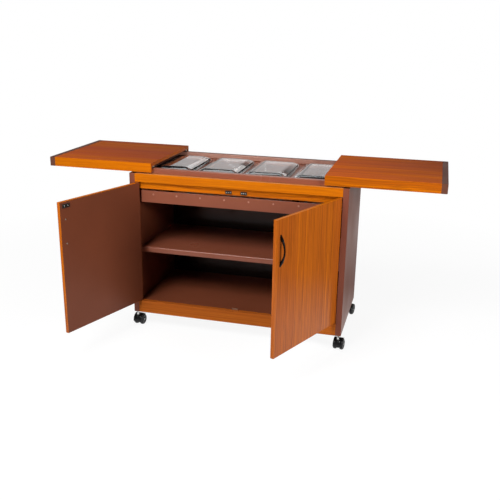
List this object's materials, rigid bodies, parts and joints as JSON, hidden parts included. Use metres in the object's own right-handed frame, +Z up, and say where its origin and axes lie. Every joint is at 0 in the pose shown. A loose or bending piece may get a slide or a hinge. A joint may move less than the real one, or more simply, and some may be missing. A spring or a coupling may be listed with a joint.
{
  "type": "food warmer trolley",
  "caption": "Cupboard on castors with a heated food well under sliding leaves, glass dishes with lids, hinged doors and a shelf.",
  "frame": {"origin": "on the floor, on the cupboard's centre line, midway between the leaves' rear edges and the wider open door's front edge", "axes": "+X to the viewer's right along the trolley, +Y from the doors to the back, +Z up"},
  "size_m": [1.74, 0.9096, 0.7808],
  "materials": {
    "wood_veneer": "satin teak-coloured veneer",
    "brown_laminate": "satin brown laminate on board",
    "dark_hardboard": "dark textured hardboard",
    "brown_enamel": "brown stove enamel on sheet steel",
    "brown_plastic": "moulded brown plastic",
    "black_plastic": "satin black plastic",
    "castor_tread": "black nylon",
    "steel": "bright zinc-plated steel",
    "pale_nylon": "natural nylon",
    "clear_glass": "clear pressed glass"
  },
  "bodies": {
    "cabinet": {"back_panel": "dark_hardboard", "bottom_board": "brown_laminate", "cable_gland": "black_plastic", "castor_stems": "steel", "catch_rail": "wood_veneer", "dish_1": "clear_glass", "dish_4": "clear_glass", "dish_deck": "brown_enamel", "door_catches": "black_plastic", "door_stop": "pale_nylon", "element_straps": "steel", "front_slide_rail": "brown_enamel", "heater_screws": "steel", "heater_tray": "brown_enamel", "heating_element": "steel", "left_side_panel": "brown_laminate", "middle_shelf": "brown_enamel", "pivot_bushes": "brown_plastic", "plinth_rail": "wood_veneer", "rear_rail": "brown_laminate", "rear_slide_rail": "brown_enamel", "right_side_panel": "brown_laminate", "shelf_pegs": "steel", "thermostat": "black_plastic", "top_fascia": "wood_veneer"},
    "left_door": {"left_door": "wood_veneer", "left_handle": "black_plastic", "left_strike_plate": "black_plastic", "left_pivots": "steel"},
    "right_door": {"right_door": "wood_veneer", "right_handle": "black_plastic", "right_strike_plate": "black_plastic", "right_pivots": "steel"},
    "left_leaf": {"left_leaf_top": "wood_veneer", "left_leaf_aprons": "wood_veneer", "left_leaf_end_cap": "brown_plastic", "left_leaf_runners": "black_plastic"},
    "right_leaf": {"right_leaf_top": "wood_veneer", "right_leaf_aprons": "wood_veneer", "right_leaf_end_cap": "brown_plastic", "right_leaf_runners": "black_plastic"},
    "dish_2": {"dish_2": "clear_glass"},
    "dish_3": {"dish_3": "clear_glass"},
    "lid_1": {"lid_1": "clear_glass"},
    "lid_2": {"lid_2": "clear_glass"},
    "lid_3": {"lid_3": "clear_glass"},
    "lid_4": {"lid_4": "clear_glass"},
    "front_left_castor": {"front_left_castor_housing": "black_plastic"},
    "front_left_wheels": {"front_left_castor_wheels": "castor_tread", "front_left_castor_axle": "steel"},
    "front_right_castor": {"front_right_castor_housing": "black_plastic"},
    "front_right_wheels": {"front_right_castor_wheels": "castor_tread", "front_right_castor_axle": "steel"},
    "rear_left_castor": {"rear_left_castor_housing": "black_plastic"},
    "rear_left_wheels": {"rear_left_castor_wheels": "castor_tread", "rear_left_castor_axle": "steel"},
    "rear_right_castor": {"rear_right_castor_housing": "black_plastic"},
    "rear_right_wheels": {"rear_right_castor_wheels": "castor_tread", "rear_right_castor_axle": "steel"}
  },
  "joints": [
    {"name": "left_door_hinge", "type": "hinge", "parent": "cabinet", "child": "left_door", "pos_m": [-0.4525, -0.02516, 0.414], "axis": [0, 0, 1], "range_deg": [-1, 109]},
    {"name": "right_door_hinge", "type": "hinge", "parent": "cabinet", "child": "right_door", "pos_m": [0.4525, -0.02516, 0.414], "axis": [0, 0, 1], "range_deg": [-66.5, 43.5]},
    {"name": "left_leaf_slide", "type": "slide", "parent": "cabinet", "child": "left_leaf", "axis": [-1, 0, 0], "range_m": [-0.38, 0]},
    {"name": "right_leaf_slide", "type": "slide", "parent": "cabinet", "child": "right_leaf", "axis": [1, 0, 0], "range_m": [-0.38, 0]},
    {"name": "dish_2_lift", "type": "slide", "parent": "cabinet", "child": "dish_2", "axis": [0, 0, 1], "range_m": [0, 0.2]},
    {"name": "dish_3_lift", "type": "slide", "parent": "cabinet", "child": "dish_3", "axis": [0, 0, 1], "range_m": [0, 0.2]},
    {"name": "lid_2_lift", "type": "slide", "parent": "dish_2", "child": "lid_2", "axis": [0, 0, 1], "range_m": [0, 0.1]},
    {"name": "lid_3_lift", "type": "slide", "parent": "dish_3", "child": "lid_3", "axis": [0, 0, 1], "range_m": [0, 0.1]},
    {"name": "lid_1_lift", "type": "slide", "parent": "cabinet", "child": "lid_1", "axis": [0.866, 0, 0.5], "range_m": [0, 0.1]},
    {"name": "lid_4_lift", "type": "slide", "parent": "cabinet", "child": "lid_4", "axis": [-0.866, 0, 0.5], "range_m": [0, 0.1]},
    {"name": "front_left_swivel", "type": "hinge", "parent": "cabinet", "child": "front_left_castor", "pos_m": [-0.4725, -0.01766, 0.054], "axis": [0, 0, 1], "continuous": true},
    {"name": "front_left_roll", "type": "hinge", "parent": "front_left_castor", "child": "front_left_wheels", "pos_m": [-0.4711, 0.00229, 0.025], "axis": [-0.9976, 0.0698, 0], "continuous": true},
    {"name": "front_right_swivel", "type": "hinge", "parent": "cabinet", "child": "front_right_castor", "pos_m": [0.4725, -0.01766, 0.054], "axis": [0, 0, 1], "continuous": true},
    {"name": "front_right_roll", "type": "hinge", "parent": "front_right_castor", "child": "front_right_wheels", "pos_m": [0.47459, 0.00223, 0.025], "axis": [-0.9945, 0.1045, 0], "continuous": true},
    {"name": "rear_left_swivel", "type": "hinge", "parent": "cabinet", "child": "rear_left_castor", "pos_m": [-0.4725, 0.42834, 0.054], "axis": [0, 0, 1], "continuous": true},
    {"name": "rear_left_roll", "type": "hinge", "parent": "rear_left_castor", "child": "rear_left_wheels", "pos_m": [-0.46699, 0.40912, 0.025], "axis": [0.9613, 0.2756, 0], "continuous": true},
    {"name": "rear_right_swivel", "type": "hinge", "parent": "cabinet", "child": "rear_right_castor", "pos_m": [0.4725, 0.42834, 0.054], "axis": [0, 0, 1], "continuous": true},
    {"name": "rear_right_roll", "type": "hinge", "parent": "rear_right_castor", "child": "rear_right_wheels", "pos_m": [0.46834, 0.40878, 0.025], "axis": [0.9781, -0.2079, 0], "continuous": true}
  ]
}
